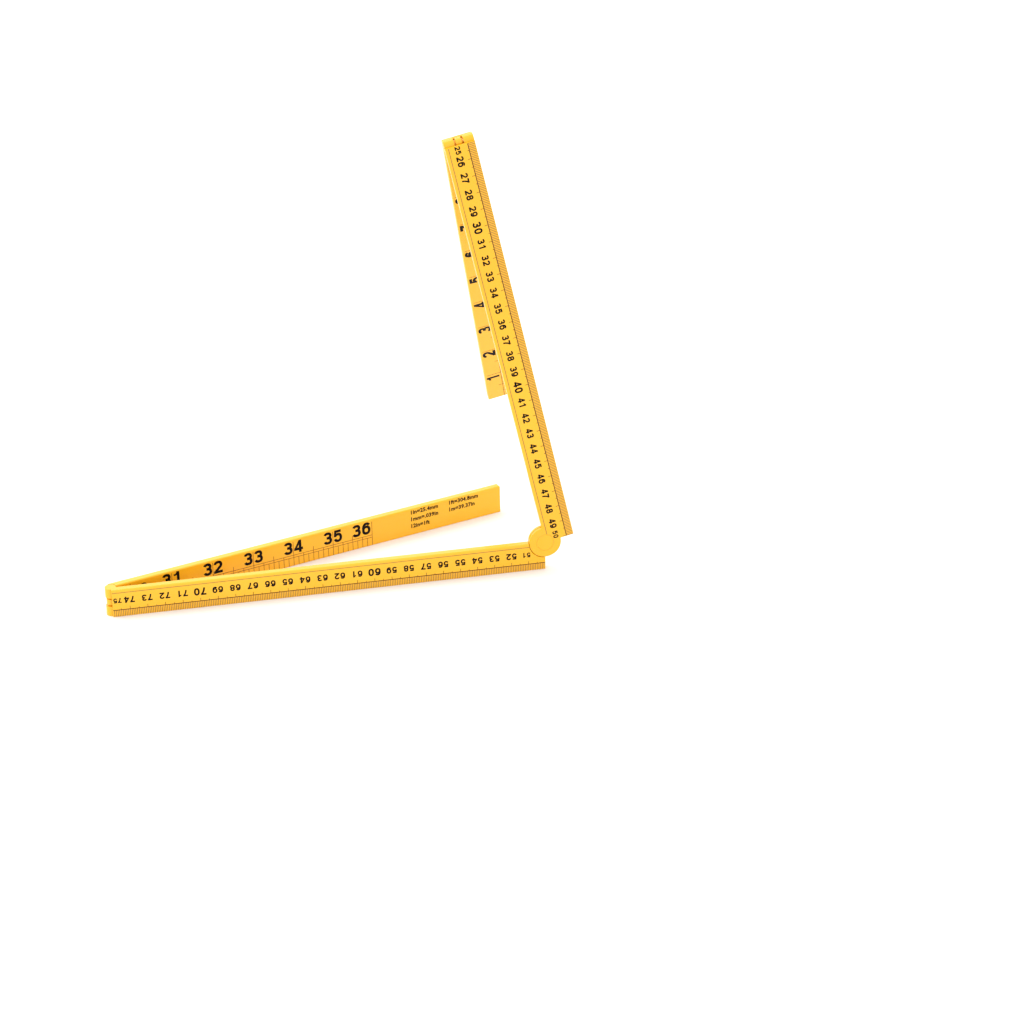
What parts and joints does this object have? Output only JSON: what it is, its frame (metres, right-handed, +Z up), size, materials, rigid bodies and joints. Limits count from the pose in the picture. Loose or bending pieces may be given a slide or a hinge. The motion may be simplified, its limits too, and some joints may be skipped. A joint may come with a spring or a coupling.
{
  "type": "folding rule",
  "caption": "Folding rule with flat plastic legs, pinned side hinges and a flush disc joint at mid-length, standing part open.",
  "frame": {"origin": "middle of leg 3's ticked edge, which the rule stands on", "axes": "+Z up, +X along leg 3 from its side hinge to the disc joint, +Y from leg 3's cm face to its inch face"},
  "size_m": [0.2699, 0.1337, 0.2684],
  "materials": {
    "leg_plastic": "moulded, semi-gloss",
    "rivet_plastic": "moulded, semi-gloss",
    "pin_steel": "drawn wire",
    "plate_steel": "rolled",
    "spring_steel": "rolled"
  },
  "bodies": {
    "lower_leg": {"leg_3": "leg_plastic", "hinge_pin_3_4": "pin_steel", "joint_rivet": "rivet_plastic", "rivet_cap": "rivet_plastic", "joint_plate": "plate_steel", "spring_washer": "spring_steel"},
    "lower_end_leg": {"leg_4": "leg_plastic"},
    "upper_leg": {"leg_2": "leg_plastic", "hinge_pin_1_2": "pin_steel"},
    "upper_end_leg": {"leg_1": "leg_plastic"}
  },
  "joints": [
    {"name": "disc_joint", "type": "hinge", "parent": "lower_leg", "child": "upper_leg", "pos_m": [0.125, -0.0023, 0.01715], "axis": [0, 1, 0], "range_deg": [-78, 102]},
    {"name": "hinge_1_2", "type": "hinge", "parent": "upper_leg", "child": "upper_end_leg", "pos_m": [0.07302, 0.00245, 0.26169], "axis": [0.9781, 0, 0.2079], "range_deg": [-30, 150]},
    {"name": "hinge_3_4", "type": "hinge", "parent": "lower_leg", "child": "lower_end_leg", "pos_m": [-0.125, 0.00245, 0], "axis": [0, 0, 1], "range_deg": [-17, 163]}
  ]
}
